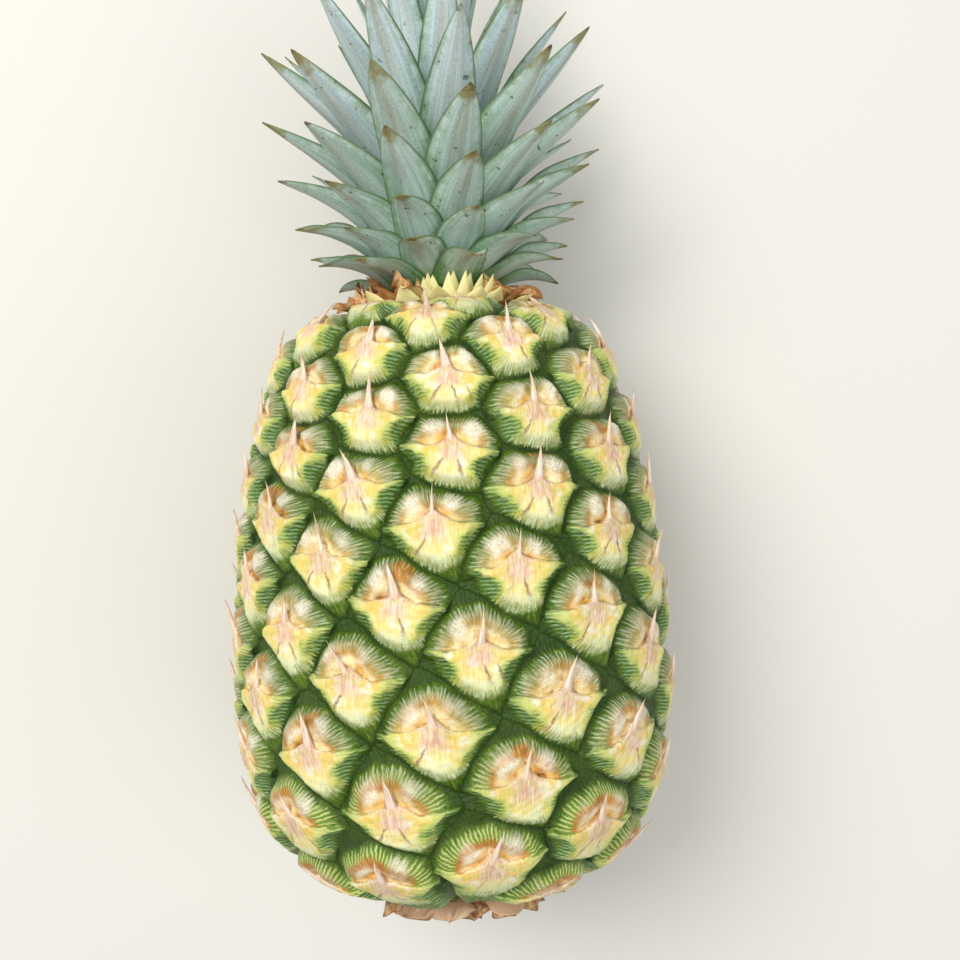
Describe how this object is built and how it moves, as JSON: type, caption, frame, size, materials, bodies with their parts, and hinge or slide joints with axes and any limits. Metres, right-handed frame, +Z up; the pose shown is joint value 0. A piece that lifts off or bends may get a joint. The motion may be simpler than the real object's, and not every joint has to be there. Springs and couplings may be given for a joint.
{
  "type": "pineapple fruit with leafy top",
  "caption": "Whole ripe pineapple fruit with spiny eyes, a leafy top and a cut stalk, lying on its side.",
  "frame": {"origin": "the middle of the bounding box, on the floor that the fruit lies on", "axes": "+Z up, +Y along the fruit towards its leaves, +X across it"},
  "size_m": [0.1392, 0.3706, 0.1381],
  "materials": {
    "rind": "waxy rind of cream and gold eyes in dark green grooves, with pinkish dry spines",
    "stalk": "pale fibrous cut stalk, browned round its edge",
    "dry_bract": "dry, papery, tan and curled",
    "collar_bract": "short pointed bracts, cream to orange-brown, dry at their edges",
    "inner_leaf": "young leaf, pale blue-green under a white bloom",
    "leaf": "leathery leaf, grey-green under a silvery bloom, with a brown tip"
  },
  "bodies": {
    "root": {"fruit_body": "rind", "stalk_stub": "stalk", "base_bracts": "dry_bract", "collar_bracts": "collar_bract", "leaf_heart": "inner_leaf", "leaf_01": "leaf", "leaf_02": "leaf", "leaf_03": "leaf", "leaf_04": "leaf", "leaf_05": "leaf", "leaf_06": "leaf", "leaf_07": "leaf", "leaf_08": "leaf", "leaf_09": "leaf", "leaf_10": "leaf", "leaf_11": "leaf", "leaf_12": "leaf", "leaf_13": "leaf", "leaf_14": "leaf", "leaf_15": "leaf", "leaf_16": "leaf", "leaf_17": "leaf", "leaf_18": "leaf", "leaf_19": "leaf", "leaf_20": "leaf", "leaf_21": "leaf", "leaf_22": "leaf", "leaf_23": "leaf", "leaf_24": "leaf", "leaf_25": "leaf", "leaf_26": "leaf", "leaf_27": "leaf", "leaf_28": "leaf", "leaf_29": "leaf", "leaf_30": "leaf", "leaf_31": "leaf", "leaf_32": "leaf", "leaf_33": "leaf", "leaf_34": "leaf", "leaf_35": "leaf", "leaf_36": "leaf", "leaf_37": "leaf", "leaf_38": "leaf", "leaf_39": "leaf", "leaf_40": "leaf", "leaf_41": "leaf", "leaf_42": "leaf", "leaf_43": "leaf", "leaf_44": "leaf", "leaf_45": "leaf", "leaf_46": "leaf", "leaf_47": "leaf", "leaf_48": "leaf", "leaf_49": "leaf", "leaf_50": "leaf", "leaf_51": "leaf", "leaf_52": "leaf"}
  },
  "joints": []
}
